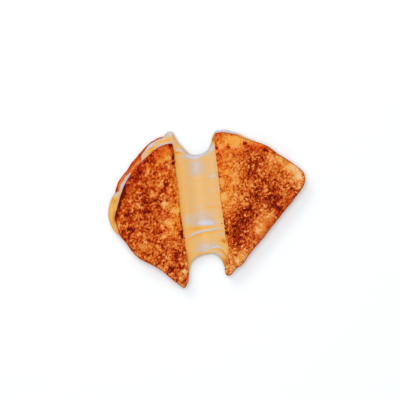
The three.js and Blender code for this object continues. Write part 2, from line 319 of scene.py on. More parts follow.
def nearest_in_plan(points, others):
    """For each point, the number of the nearest of the others in plan, and its distance."""
    tree = kdtree.KDTree(len(others))
    for i, (x, y) in enumerate(others[:, :2]):
        tree.insert((x, y, 0), i)
    tree.balance()
    found = [tree.find((x, y, 0))[1:] for x, y in points[:, :2]]
    numbers, distances = zip(*found)
    return np.array(numbers), np.array(distances)


def finish_piece(piece, material, slot, *nodes):
    piece.data.materials.append(material)
    piece.data.shade_smooth()
    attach(piece, BODY)
    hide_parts(*nodes)


# ------------------------ materials

# The sockets of a mix node that blends colours, by their numbers.
MIX_SHARE, MIX_FIRST, MIX_SECOND, MIX_RESULT = 0, 6, 7, 2


class Shading:
    """Builds one material, node by node."""

    def __init__(self, name):
        self.material = bpy.data.materials.new(name)
        self.material.use_nodes = True
        self.tree = self.material.node_tree
        self.shader = self.tree.nodes["Principled BSDF"]
        self.coordinates = self.node("ShaderNodeTexCoord").outputs["Object"]

    def node(self, kind, inputs=(), **settings):
        made = self.tree.nodes.new(kind)
        for key, value in settings.items():
            setattr(made, key, value)
        for key, value in dict(inputs).items():
            self.feed(made.inputs[key], value)
        return made

    def feed(self, socket, value):
        if isinstance(value, bpy.types.NodeSocket):
            self.tree.links.new(value, socket)
        else:
            socket.default_value = value

    def layer(self, name):
        return self.node("ShaderNodeAttribute", attribute_name=name).outputs["Fac"]

    def noise(self, size, detail=2.0, roughness=0.5, stretch=(1, 1, 1)):
        """Noise, 0 to 1, with lumps as wide as size."""
        scale = tuple(1 / (size * part) for part in stretch)
        mapping = self.node("ShaderNodeMapping", {"Vector": self.coordinates, "Scale": scale})
        made = self.node("ShaderNodeTexNoise", {
            "Vector": mapping.outputs["Vector"], "Scale": 1.0, "Detail": detail,
            "Roughness": roughness})
        return made.outputs["Fac"]

    def add(self, *values):
        made = self.node("ShaderNodeMath", dict(enumerate(values)), operation="ADD")
        return made.outputs["Value"]

    def between(self, value, span, new_span):
        """The value, taken from one span of low and high to another, and kept inside it."""
        made = self.node("ShaderNodeMapRange", {
            "Value": value, "From Min": span[0], "From Max": span[1],
            "To Min": new_span[0], "To Max": new_span[1]})
        return made.outputs["Result"]

    def blend(self, share, first, second, blend_type="MIX"):
        made = self.node("ShaderNodeMix", data_type="RGBA", blend_type=blend_type)
        self.feed(made.inputs[MIX_SHARE], share)
        for number, colour in ((MIX_FIRST, first), (MIX_SECOND, second)):
            is_socket = isinstance(colour, bpy.types.NodeSocket)
            self.feed(made.inputs[number], colour if is_socket else (*colour, 1))
        return made.outputs[MIX_RESULT]

    def ramp(self, value, stops, colours):
        """The colours along a value, each at its own stop."""
        made = self.node("ShaderNodeValToRGB", {"Fac": value})
        band = made.color_ramp.elements
        while len(band) < len(stops):
            band.new(0.5)
        for element, position, colour in zip(band, stops, colours):
            element.position = position
            element.color = (*colour, 1)
        return made.outputs["Color"]

    def bump(self, height, strength, depth):
        made = self.node("ShaderNodeBump", {"Height": height, "Strength": strength,
                                            "Distance": depth})
        self.feed(self.shader.inputs["Normal"], made.outputs["Normal"])

    def set(self, **inputs):
        for key, value in inputs.items():
            self.feed(self.shader.inputs[key.replace("_", " ")], value)


# Widths of the fine detail that the materials draw, and depths of the finest relief.
SPECKLE_SIZE = 1.1 * MM
HOLLOW_SHADE_SIZE = 1.6 * MM
BUTTER_SIZE = 7 * MM
TOAST_GRAIN_SIZE = 0.45 * MM
TOAST_GRAIN_DEPTH = 0.1 * MM
STREAK_SIZE = 1.8 * MM
STREAK_STRETCH = (12, 1, 2)
OIL_SIZE = 5 * MM
RIPPLE_SIZE = 1.4 * MM
RIPPLE_STRETCH = (5, 1, 1)
RIPPLE_DEPTH = 0.06 * MM
# Spans that hold most values of a noise, nearly all of them, and its higher ones.
MOST_NOISE = (0.3, 0.7)
NEARLY_ALL_NOISE = (0.25, 0.75)
HIGH_NOISE = (0.35, 0.75)
# How far the speckle shifts the browning, and the streaks the tone of the cheese.
SPECKLE_SHIFT = (-0.14, 0.14)
STREAK_SHIFT = (-0.025, 0.025)
# Where each colour stands along the browning of glazed and dry crust, and along the cheese's tone.
GLAZED_STOPS = (0.05, 0.4, 0.75, 1.0)
DRY_STOPS = (0.05, 0.4, 0.7, 1.0)
CHEESE_STOPS = (0.0, 0.2, 0.42, 0.66, 1.0)
# The painted shade in the hollows of the crumb, and the most of it that shows.
CRUMB_SHADE = (0.7, 0.62, 0.5)
CRUMB_SHADE_SHARE = 0.4
# Roughness from the most to the least greasy place, and how strongly a surface shines. Toast
# shines in its own tint.
TOAST_ROUGHNESS = (0.5, 0.7)
CHEESE_ROUGHNESS = (0.4, 0.56)
TOAST_SHINE = 0.06
CRUST_SHINE = 0.01
CHEESE_SHINE = 0.1
TOAST_SHINE_TINT = (1, 0.5, 0.25, 1)
# How much light sinks into the cheese, how far, and how far each of its colours.
CHEESE_GLOW = 0.15
GLOW_DEPTH = 2 * MM
GLOW_COLOURS = (0.9, 0.5, 0.25)


def toast_material(name, look, stops):
    """Toast, its crust and its crumb: the layers on the mesh say which is where, and warmth
    picks butter on toast, glaze on crust and cream-coloured crumb. stops are the shares of a
    toasted face that are paler than each shade."""
    shading = Shading(name)
    speckle = shading.noise(SPECKLE_SIZE, roughness=0.55)
    browning = shading.add(shading.layer("browning"),
                           shading.between(speckle, NEARLY_ALL_NOISE, SPECKLE_SHIFT))
    shades = (look.pale, look.light, look.golden, look.brown, look.russet, look.dark,
              look.burnt, look.char)
    toasted = shading.ramp(browning, (0.0, *stops, 1.0), shades)
    warmth = shading.layer("warmth")
    toasted = shading.blend(warmth, toasted, look.warm, "MULTIPLY")
    toasted = shading.blend(shading.layer("ruddiness"), toasted, look.ruddy, "MULTIPLY")

    glazed = shading.ramp(browning, GLAZED_STOPS,
                          (look.crust_light, look.crust, look.russet, look.char))
    dry = shading.ramp(browning, DRY_STOPS,
                       (look.side_light, look.side, look.side_dark, look.char))
    crust = shading.blend(warmth, dry, glazed)

    # Painted shade in the crumb's hollows, laid in patches by noise.
    hollow_shade = shading.noise(HOLLOW_SHADE_SIZE, detail=3)
    crumb = shading.blend(warmth, look.crumb, look.crumb_cut)
    shaded_crumb = shading.blend(1.0, crumb, CRUMB_SHADE, "MULTIPLY")
    crumb = shading.blend(shading.between(hollow_shade, HIGH_NOISE, (0, CRUMB_SHADE_SHARE)),
                          crumb, shaded_crumb)

    on_crust = shading.layer("crust")
    colour = shading.blend(on_crust, toasted, crust)
    colour = shading.blend(shading.layer("crumb"), colour, crumb)
    butter = shading.noise(BUTTER_SIZE, detail=1)
    fine = shading.noise(TOAST_GRAIN_SIZE, roughness=0.6)
    shading.bump(fine, strength=0.4, depth=TOAST_GRAIN_DEPTH)
    shading.set(Base_Color=colour, Specular_Tint=TOAST_SHINE_TINT,
                Roughness=shading.between(butter, MOST_NOISE, TOAST_ROUGHNESS),
                Specular_IOR_Level=shading.between(on_crust, (0, 1), (TOAST_SHINE, CRUST_SHINE)))
    return shading.material


def cheese_material(look):
    """Melted cheese: its tone runs from milky, through cream, to deep orange. The milky end is
    also painted highlight, and the deep end also painted shade beside the creases.
    """
    shading = Shading("melted_cheese")
    streaks = shading.noise(STREAK_SIZE, stretch=STREAK_STRETCH)
    # The tone layer holds the cheese's own colour with painted highlights and painted shade.
    tone = shading.add(shading.layer("tone"),
                       shading.between(streaks, MOST_NOISE, STREAK_SHIFT))
    colour = shading.ramp(tone, CHEESE_STOPS,
                          (look.milky_highlight, look.pale, look.cream, look.yellow, look.deep))
    colour = shading.blend(shading.layer("speck"), colour, look.speck)
    oil = shading.noise(OIL_SIZE)
    ripples = shading.noise(RIPPLE_SIZE, stretch=RIPPLE_STRETCH)
    shading.bump(ripples, strength=0.2, depth=RIPPLE_DEPTH)
    shading.set(Base_Color=colour, Specular_IOR_Level=CHEESE_SHINE,
                Roughness=shading.between(oil, MOST_NOISE, CHEESE_ROUGHNESS),
                Subsurface_Weight=CHEESE_GLOW, Subsurface_Scale=GLOW_DEPTH,
                Subsurface_Radius=GLOW_COLOURS)
    return shading.material


# ------------------------ toast

# Places are listed by x and y, reach across and up, all in millimetres, and strength. These are
# where the pan browned a half's toasted faces more (above 0) or less (below 0), wide areas first.
LEFT_SPOTS = [
    (-74, 12, 8, 9, -0.06), (-36, 0, 8, 30, -0.1), (-66, 4, 14, 12, 0.06),
    (-84.6, 19, 2.6, 7, 1.1), (-87.6, 8, 1.8, 5, 0.75), (-90.4, -5, 1.6, 5, 0.45),
    (-88, -13, 4, 8, -0.12), (-73, 31, 5, 3, 0.24), (-68, 37, 3, 4, 0.26), (-60, 48, 5, 3, 0.3),
    (-79, 24, 4, 4, 0.1), (-60, 6.5, 3.5, 2.2, 0.42), (-49, 8, 6, 1.8, 0.22),
    (-62, 15, 3, 4, 0.14), (-42.4, 19.6, 2.6, 2.4, 0.38), (-39, 27, 2.2, 4, 0.3),
    (-45, 41, 4, 1.6, 0.12), (-78, -6, 3, 2, 0.32), (-77.5, -21, 3, 2.2, 0.32),
    (-38, -5, 2, 2, 0.14), (-31, -47, 2.4, 3, 0.42), (-26, -44, 3, 1.4, 0.18),
    (-35, -60, 3, 2.6, 0.42), (-27, -58, 1.8, 3, 0.16), (-32, -71, 2.2, 2, 0.16),
    (-24.6, -24.5, 1.1, 4.5, 0.55), (-35, 64.5, 2.2, 2.2, 0.9), (-33.4, 52, 1.4, 3.6, 0.6),
    (-33, 45.8, 1.3, 1.6, 0.8), (-25.6, -13.5, 1, 3, 0.35), (-62, -2, 12, 1.4, 0.08),
    (-62, -10, 9, 1.4, 0.13), (-84, -14, 3, 2, 0.1), (-57, 56, 3, 4, 0.2), (-84, -30, 3, 4, 0.12),
    (-50, -44, 7, 2, 0.03), (-70, 10, 9, 2, 0.07), (-40, 52, 5, 6, -0.26), (-47, 46, 4, 5, -0.2),
    (-41, 36, 4, 1.8, -0.2), (-59, 38, 2, 3, -0.24), (-30, 30, 2, 4, -0.18),
    (-29, 17, 2, 6, -0.14), (-47, 25, 4, 4, -0.26), (-54, 14.5, 4, 2.4, -0.22),
    (-37, 17, 2.2, 4, -0.14), (-42, 5, 2.8, 3, -0.36), (-30, -1, 4, 4, -0.42),
    (-38, -14, 4.5, 3.5, -0.4), (-44, -18, 3, 2, -0.16), (-42, -28, 3.5, 3, -0.26),
    (-34, -24, 4, 4, -0.16), (-31, -36, 2.5, 3, -0.14), (-67, -25, 3, 2.2, -0.3),
    (-63, -38, 6, 4, -0.17), (-37, -51, 3, 3, -0.15), (-38, -44, 2, 3, -0.14),
    (-19.5, -55, 1.6, 3, -0.28), (-22, -63, 3, 2.4, -0.38), (-26, -68, 2.4, 4, -0.2),
    (-27, -76, 3, 1.6, -0.26), (-42, -61, 2.6, 3.4, -0.22), (-88, -17, 2, 3, -0.18),
    (-70, 2, 7, 1.6, -0.14), (-36, 42, 7, 6, -0.12), (-39, 60, 5, 3, -0.1), (-28, 14, 3, 7, -0.24),
    (-80, -24, 8, 10, 0.08), (-58, -49, 6, 3, -0.1), (-57, 51, 3, 3, -0.14),
    (-23, -34, 2.4, 8, -0.08), (-31, 33, 1.5, 5, -0.14), (-26, -16, 2.4, 6, -0.15),
    (-80, 6, 6, 5, -0.05), (-66, -6.5, 6, 1.4, -0.12), (-51, -7, 4, 1.6, -0.12),
    (-28, -10, 1.6, 4, -0.14),
]
RIGHT_SPOTS = [
    (22, 42, 11, 22, -0.12), (34, -18, 12, 19, 0.2), (66, 14, 14, 14, 0.14), (50, 44, 12, 14, 0.1),
    (24, -56, 12, 9, -0.2), (60, -16, 12, 10, -0.06), (38.5, 66, 1.6, 2, 0.9),
    (21.5, 62, 1.6, 2, 0.5), (9, 62, 1.5, 2, 0.8), (57, 60, 8, 2.6, 0.14), (58, 64.5, 10, 2, -0.2),
    (41, 58, 4, 4, 0.12), (44, 45, 3, 3.6, 0.3), (42, 38, 3, 4, 0.24), (55, 50, 5, 3, 0.18),
    (49, 33, 6, 2.4, 0.14), (58, 28, 4, 2.6, 0.28), (69, 27, 3.6, 2.6, 0.14),
    (77, 37, 4, 2.4, 0.08), (66, 35, 4, 2, 0.1), (51, 19, 3.4, 4, 0.3), (50.5, 11, 2.8, 3, 0.44),
    (38, 17, 3, 2.2, 0.2), (67, 19, 3.4, 3.6, 0.29), (62, 12, 4, 4, 0.31), (71, 10, 5, 3.6, 0.3),
    (65, 5, 4, 3.4, 0.31), (72, 1.5, 4, 2.6, 0.36), (87, 21, 3.4, 2.2, 0.3), (78, 23, 4, 2, 0.1),
    (42, 0, 4, 2.6, 0.43), (34, -3, 3.6, 2.4, 0.3), (44, -7, 2.8, 2.6, 0.36), (37, -8, 3, 3, 0.2),
    (33, -13, 3.4, 2.4, 0.42), (28, -17, 3, 2.6, 0.41), (20, -9, 2, 2, 0.22),
    (20, -23, 2.4, 3.6, 0.26), (28, -23, 3, 3.4, 0.3), (38, -27, 2.8, 2.8, 0.29),
    (44, -14, 3, 1.8, 0.14), (30, -34, 3, 3.4, 0.33), (35, -39, 3, 2, 0.14),
    (26, -36, 2.6, 2.6, 0.22), (24, -52, 3.4, 2, 0.22), (21, -62, 3, 2.4, 0.1),
    (40, -16, 2, 3, 0.1), (26, 70, 12, 4, -0.32), (15, 62, 4, 2.6, -0.36), (31, 63, 6, 4, -0.3),
    (73, 50, 5, 3.6, -0.22), (64, 50, 3.4, 5, -0.26), (86, 41, 7, 4.5, -0.4), (94, 33, 4, 6, -0.3),
    (92, 22, 3, 3, -0.16), (29, 34, 3.4, 2.4, -0.27), (31, 27, 3.4, 3, -0.2),
    (20, 37, 4, 2.2, -0.17), (14, 28, 3, 3.6, -0.34), (17, 12, 4, 5, -0.38), (24, 6, 4, 3, -0.3),
    (26, 14, 4, 2.4, -0.17), (15, -3, 1.8, 3.4, -0.2), (59, 19, 2.2, 2.2, -0.28),
    (35, 7, 4, 2, -0.16), (62, -8, 5, 3.4, -0.24), (51, -21, 3, 4, -0.3), (55, -16, 4, 3, -0.13),
    (36, -17, 1.6, 2, -0.2), (20, -31, 1.8, 2, -0.3), (21, -42, 2.4, 4, -0.27),
    (37, -46, 4, 3.4, -0.24), (31, -50, 3, 3, -0.18), (41, -35, 2.4, 3, -0.17),
    (19, -48, 1.6, 2, -0.2), (17, 45, 3, 3, -0.09), (44, 69.4, 7, 1.6, -0.35),
    # The places at (62, -16), (72, -3.5) and (81, 8) darken the lower right edge: partly browner
    # toast, partly painted shade where it rounds away from the light.
    (90, 31, 5, 3, -0.2), (20, -1, 5, 4, -0.22), (62, -16, 4, 4.4, 0.05), (46, 11, 6, 5, 0.26),
    (72, -3.5, 4, 4.4, 0.16), (81, 8, 3.6, 4, 0.08), (23, -57, 5, 4, 0.14), (98, 36, 4, 6, 0.1),
    (46, 68, 7, 2.6, -0.22), (20, 65, 10, 4, -0.16), (17, 15, 5, 6, -0.1), (32, -8, 4, 3, 0.14),
    (52, 22, 5, 3, 0.12), (25, 17, 3, 3, -0.1), (21, -14, 4, 7, 0.12),
]
# Where the crust of a slice is browner (above 0) or lighter (below 0) than elsewhere.
LEFT_TOP_CRUST = [(-84.5, 20, 4, 7, 0.7), (-88.5, 6, 3, 8, 0.6), (-91.3, -8, 3, 9, 0.5)]
LEFT_BOTTOM_CRUST = [
    (-65, 51, 4, 4, 0.12), (-84, 29, 5, 8, -0.28), (-54, 66, 10, 6, -0.25), (-72, 44, 3, 3, 0.1),
]
RIGHT_CRUST = [(97, 33, 5, 8, -0.25), (84, 47, 12, 5, -0.2), (56, 64, 10, 4, 0.12)]
# Where the bottom left slice shows more (above 0) or less (below 0) of its crust from above, in
# millimetres of width. The other slices' rims are far from there or hidden.
LEFT_RIM = [
    (-68, 45, 6, 6.4, 3.6), (-73.4, 38.6, 3.2, 3.6, 2.4), (-55, 63, 9, 7, -2.9),
    (-46, 70, 6, 4, -2.0), (-78.5, 32, 2.5, 2.5, -1.2), (-64.5, 54, 2.6, 3, -1.6),
]
# Where the browning is smooth, with few flecks.
LEFT_CALM = [
    (-44, 57, 9, 7, 0.65), (-90, -12, 4, 16, 0.3), (-70, -42, 10, 5, 0.2), (-80, 18, 7, 14, 0.5),
    (-70, 35, 6, 7, 0.4), (-58, 48, 8, 4, 0.3),
]
RIGHT_CALM = [
    (27, 71, 14, 5, 0.35), (84, 44, 14, 6, 0.5), (58, -16, 12, 9, 0.35), (34, -48, 8, 5, 0.2),
    (18, 10, 5, 6, 0.2), (54, 61, 10, 4, 0.4), (54, -27, 4, 4, 0.4), (63, -15, 4, 4, 0.4),
    (73, -2, 4, 4, 0.5), (82, 9, 4, 4, 0.4),
]
# Where butter made the toast warmer in colour (above 0) or left it dull (below 0).
LEFT_BUTTER = [
    (-44, 54, 10, 9, 0.5), (-30, 8, 8, 32, 0.48), (-48, 34, 10, 12, 0.2), (-36, -22, 9, 8, 0.25),
    (-19, -68, 9, 17, -0.6), (-34, -58, 9, 9, -0.25), (-60, 5, 9, 8, -0.14), (-43, 8, 4, 4, -0.4),
    (-72, 20, 8, 8, -0.1), (-24, -30, 3, 12, -0.2),
]
RIGHT_BUTTER = [
    (16, 36, 15, 40, 0.5), (28, 68, 16, 8, 0.4), (54, 61, 12, 6, 0.2), (68, 38, 10, 8, 0.1),
    (26, -56, 12, 12, -0.35), (58, 12, 16, 13, -0.42), (36, -14, 8, 14, -0.3),
    (95, 35, 9, 12, -0.6), (46, 40, 9, 8, -0.12), (72, -2, 16, 16, -0.15),
]
# Where the toast is redder (above 0) or greyer (below 0) than elsewhere.
LEFT_RED = [
    (-75, 30, 6, 7, 0.7), (-67, 42, 6, 7, 0.7), (-55, 53, 8, 6, 0.8), (-42, 60, 8, 5, 0.6),
    (-42, 40, 10, 8, 0.2), (-30, 22, 5, 10, 0.3), (-20, -66, 8, 16, -0.3), (-42, 8, 5, 4, -0.2),
]
RIGHT_RED = [
    (52, 63, 12, 4, 1.0), (34, 60, 8, 6, 0.5), (15, 58, 9, 14, 0.55), (15, 38, 9, 12, 0.35),
    (50, 14, 12, 10, -0.2), (95, 34, 8, 14, -0.3), (28, -52, 14, 12, -0.3),
    # The places at (50, -33), (62, -17) and (75, -1) redden the lower right edge: partly redder
    # toast, partly painted shade where it rounds away from the light.
    (36, -14, 10, 10, -0.12), (82, 48, 12, 6, -0.2), (50, -33, 5, 6, 0.4), (62, -17, 5, 6, 0.4),
    (75, -1, 5, 6, 0.4),
]
# The share of a half's toasted faces that is paler than each shade, from light to burnt.
LEFT_SHADES = (0.04, 0.16, 0.41, 0.71, 0.87, 0.96)
RIGHT_SHADES = (0.12, 0.30, 0.53, 0.75, 0.87, 0.95)

# A half of the sandwich: its side, -1 for left or 1 for right, its places and shades as listed,
# and how much its flecks run up and down the toast, 0 to 1.
Half = namedtuple("Half", "side spots calm butter red shades dashes")
LEFT = Half(-1, LEFT_SPOTS, LEFT_CALM, LEFT_BUTTER, LEFT_RED, LEFT_SHADES, 1.0)
RIGHT = Half(1, RIGHT_SPOTS, RIGHT_CALM, RIGHT_BUTTER, RIGHT_RED, RIGHT_SHADES, 0.0)
# For each slice, whether its toasted face looks up, its places on the crust, and its seed.
SLICES = {
    "left_top_slice": (True, LEFT_TOP_CRUST, 11),
    "left_bottom_slice": (False, LEFT_BOTTOM_CRUST, 31),
    "right_top_slice": (True, RIGHT_CRUST, 21),
    "right_bottom_slice": (False, RIGHT_CRUST, 41),
}

# How strongly the places and each kind of noise show in the browning, and the least contrast.
SPOTS, CLOUDS, PATCHES, BLOTCHES = 1.2, 0.05, 0.14, 0.23
FLECKS, DASHES, WIDE_CURLS, FINE_CURLS = 0.24, 0.22, 0.13, 0.07
CONTRAST = 0.7
# The broad browning over which the contrast rises by 1.
CONTRAST_RISE = (-0.3, 0.6)
# Where the flecks are dashes, they are wider and take the place of this share of the curls.
DASH_GROWTH, DASHES_FOR_CURLS = 0.25, 0.7
# The usual warmth and ruddiness, and how strongly their noise shows.
WARMTH, WARM_TINTS, FINE_WARM_TINTS = 0.47, 0.24, 0.2
RUDDINESS, RED_TINTS = 0.22, 0.15
# Widths of the noise in the toast, of which blotches and curls are against the fleck size.
CLOUD_SIZE = 14 * MM
PATCH_SIZE = 6.5 * MM
BLOTCH_WIDTH, WIDE_CURL_WIDTH, FINE_CURL_WIDTH = 1.9, 2, 1.3
TINT_SIZE = 5 * MM
FINE_TINT_SIZE = 2.2 * MM
RED_TINT_SIZE = 6 * MM
GRIT_SIZE = 1.3 * MM
FRAY_SIZE = 2.2 * MM
FINE_FRAY_SIZE = 1.1 * MM
# How much the fine fraying shows against the wide, and how much closer together the noise of
# dashes is across, up and through the toast: they are narrow and long.
FINE_FRAY_SHARE = 0.5
DASH_SQUEEZE = (1.5, 0.75, 1)
# Shifts that make the noise wander and curl: how far and how wide.
WANDER, WANDER_SIZE = 0.9 * MM, 4 * MM
CURL, CURL_SIZE = 0.8 * MM, 1.5 * MM
# How brown the crust is as a rule, and what its noise, the way that it faces and its place add.
CRUST_BROWNING, BANDS, WRINKLES, STRANDS = 0.42, 0.14, 0.12, 0.42
FACING_OUT, HALFWAY, SCORCHED, RIM, RIM_FADES = 0.14, -0.16, 0.22, 0.28, -0.46
# Widths of the noise in the crust. Strands run along it, so they are narrow across it.
BAND_SIZE = 5 * MM
BAND_FLATNESS = 2.2
WRINKLE_SIZE = 1.5 * MM
RAGGED_SIZE = 6 * MM
STRAND_SIZE = 3 * MM
STRAND_ACROSS, STRAND_ALONG = 2.6, 0.3
# The upright part of a normal is above FACE on a face, below EDGE on an edge and below UPRIGHT
# on a side. Where a side is the cut, the part across the sandwich is beyond CUT_LEAN.
FACE, EDGE, UPRIGHT, CUT_LEAN = 0.8, 0.6, 0.35, 0.75
# Spans of that part: taken as above 0 towards the toasted face, those over which toast begins and
# crust faces out; taken as above 0 the other way, that over which the inner face begins; and
# taken without a sign, those over which the middle of a side and its swelling end.
TOASTED_FACING = (0.3, 0.7)
OUTWARD_FACING = (-0.3, 0.5)
INNER_FACING = (0.2, 0.7)
MIDDLE_FACING = (0.1, 0.5)
SWOLLEN_FACING = (0.2, 0.95)
# How far the cut reaches, and distances over which its fraying ends.
CUT_REACH = 1.0 * MM
FRAY_END = (0, 1.4 * MM)
# Distances from the crust over which the cut starts and the brown edge of the rim ends.
CUT_START = (0.4 * MM, 1.6 * MM)
RIM_EDGE = (0.6 * MM, 4 * MM)
# Depths under the toasted face over which the crust is no longer scorched, and no longer glazed.
SCORCHED_END = (0.3 * MM, 2.6 * MM)
GLAZED_END = (0.6 * MM, 3.5 * MM)
# Shares of the toasted depth and of the rim's width over which they end, and how far noise
# shifts that.
TOASTING_END, TOASTING_SHIFT = (0.5, 1.0), 0.3
RIM_END, RIM_SHIFT = (0.85, 1.1), 0.25
# A point counts as crust or crumb where that is more than this part of it. Then the least glaze
# that any crust has.
MOSTLY = 0.5
LEAST_GLAZE = 0.2
# The crumb's relief: the width and depth of its large pores against its common ones, how much
# wider than high they are, how far from its middle a pore ends, in widths, and the span of chance
# over which pores open. Then its roughness, and how far and over which span it sinks at the cut.
LARGE_PORES, LARGE_PORE_DEPTH = 2.1, 1.5
PORE_FLATNESS = 1.35
PORE_END = (0.12, 0.52)
PORE_CHANCE = (0.35, 0.75)
CRUMB_ROUGHNESS = 0.22 * MM
CRUMB_SINKS = 0.5 * MM
SINKING_SPAN = (0, 0.6)
# How much of the relief is bands and wrinkles in the crust, and how far flecks go in the toast.
BAND_RELIEF, WRINKLE_RELIEF = 0.7, 0.5
FLECK_RELIEF = (-0.8, 0.4)
# Rounds of smoothing of a slice's shape, and of the edge of its cut.
SLICE_SMOOTHING = 4
CUT_SMOOTHING = 2


def spot_sum(points, spots):
    """Adds up at each point the strength that each place has there."""
    x, y = points[:, 0] / MM, points[:, 1] / MM
    return sum(strength * np.exp(-((x - mx) / rx) ** 2 - ((y - my) / ry) ** 2)
               for mx, my, rx, ry, strength in spots)


def browning_pattern(points, look, half, seed):
    """How brown the pan made each point, and the part of it that is flecks."""
    size = look.fleck_size * (1 + DASH_GROWTH * half.dashes)
    wandering = points + WANDER * drift(points, WANDER_SIZE, seed)
    curly = points + CURL * drift(points, CURL_SIZE, seed + 40)
    broad = (SPOTS * spot_sum(wandering, half.spots)
             + CLOUDS * grain(points, CLOUD_SIZE, seed + 3))
    lines = (WIDE_CURLS * curls(curly, WIDE_CURL_WIDTH * size, seed + 5)
             + FINE_CURLS * curls(curly, FINE_CURL_WIDTH * size, seed + 6))
    dashes = half.dashes * sharpened(grain(curly * DASH_SQUEEZE, size, seed + 12))
    flecks = (PATCHES * grain(wandering, PATCH_SIZE, seed + 7)
              + BLOTCHES * grain(curly, BLOTCH_WIDTH * size, seed + 8)
              + FLECKS * sharpened(grain(curly, size, seed + 9))
              + DASHES * dashes
              + (1 - DASHES_FOR_CURLS * half.dashes) * lines)
    contrast = CONTRAST + ease_between(*CONTRAST_RISE, broad)
    contrast *= 1 - spot_sum(points, half.calm)
    return broad + flecks * contrast, flecks


def toast_tints(points, half, seed):
    """How warm and how ruddy the toast is at each point."""
    warmth = (WARMTH + spot_sum(points, half.butter)
              + WARM_TINTS * grain(points, TINT_SIZE, seed + 60)
              + FINE_WARM_TINTS * grain(points, FINE_TINT_SIZE, seed + 61))
    ruddiness = (RUDDINESS + spot_sum(points, half.red)
                 + RED_TINTS * grain(points, RED_TINT_SIZE, seed + 62))
    return np.clip(warmth, 0, 1), np.clip(ruddiness, 0, 1)


class SlicePoints:
    """The points of a slice: where each lies and faces, how far it is from the cut, the crust
    and the toasted face, and the wide and fine noise of the crust there."""

    def __init__(self, mesh, side, top, seed):
        self.places, self.normals = points_and_normals(mesh)
        outward = 1 if top else -1
        self.facing = self.normals[:, 2] * outward
        self.inner = ease_between(*INNER_FACING, -self.facing)
        self.on_face = self.facing > FACE
        face = self.places[self.on_face]
        nearest = nearest_in_plan(self.places, face)[0]
        self.from_toasted = (face[nearest, 2] - self.places[:, 2]) * outward
        on_side = np.abs(self.facing) < UPRIGHT
        on_cut = on_side & (self.normals[:, 0] * side < -CUT_LEAN)
        self.to_cut = nearest_in_plan(self.places, self.places[on_cut])[1]
        self.to_crust = nearest_in_plan(self.places, self.places[on_side & ~on_cut])[1]
        self.band = grain(self.places * (1, 1, BAND_FLATNESS), BAND_SIZE, seed + 21)
        self.fine = grain(self.places, WRINKLE_SIZE, seed + 22)


def crust_browning(at, crust_spots, seed):
    """How brown the crust is: more so by the toasted face and at the rim's outer edge, less so
    halfway up, with strands along the rim."""
    x, y = at.places[:, 0], at.places[:, 1]
    along_crust = np.stack([STRAND_ACROSS * at.to_crust, STRAND_ALONG * x, STRAND_ALONG * y],
                           axis=1)
    strands = STRANDS * at.inner * grain(along_crust, STRAND_SIZE, seed + 23)
    facing_out = FACING_OUT * ease_between(*OUTWARD_FACING, at.facing)
    rim = at.inner * (RIM + RIM_FADES * ease_between(*RIM_EDGE, at.to_crust))
    halfway = HALFWAY * (1 - ease_between(*MIDDLE_FACING, np.abs(at.facing)))
    scorched = SCORCHED * (1 - ease_between(*SCORCHED_END, at.from_toasted))
    return (CRUST_BROWNING + BANDS * at.band + WRINKLES * at.fine + strands + facing_out
            + rim + halfway + scorched + spot_sum(at.places, crust_spots))


def crumb_relief(at, look, cut_crumb, rough, seed):
    """Height of the crumb: small and large pores, and a face that sinks a little at the cut."""
    pores = np.zeros(len(at.places))
    for share, size in ((1, look.pore_size), (LARGE_PORE_DEPTH, LARGE_PORES * look.pore_size)):
        near, chance = bubbles(at.places * (1, 1, PORE_FLATNESS), size, seed + 13)
        pores = np.maximum(pores, share * (1 - ease_between(*PORE_END, near))
                           * ease_between(*PORE_CHANCE, chance))
    return (-look.pore_depth * pores + CRUMB_ROUGHNESS * rough
            - CRUMB_SINKS * ease_between(*SINKING_SPAN, cut_crumb))


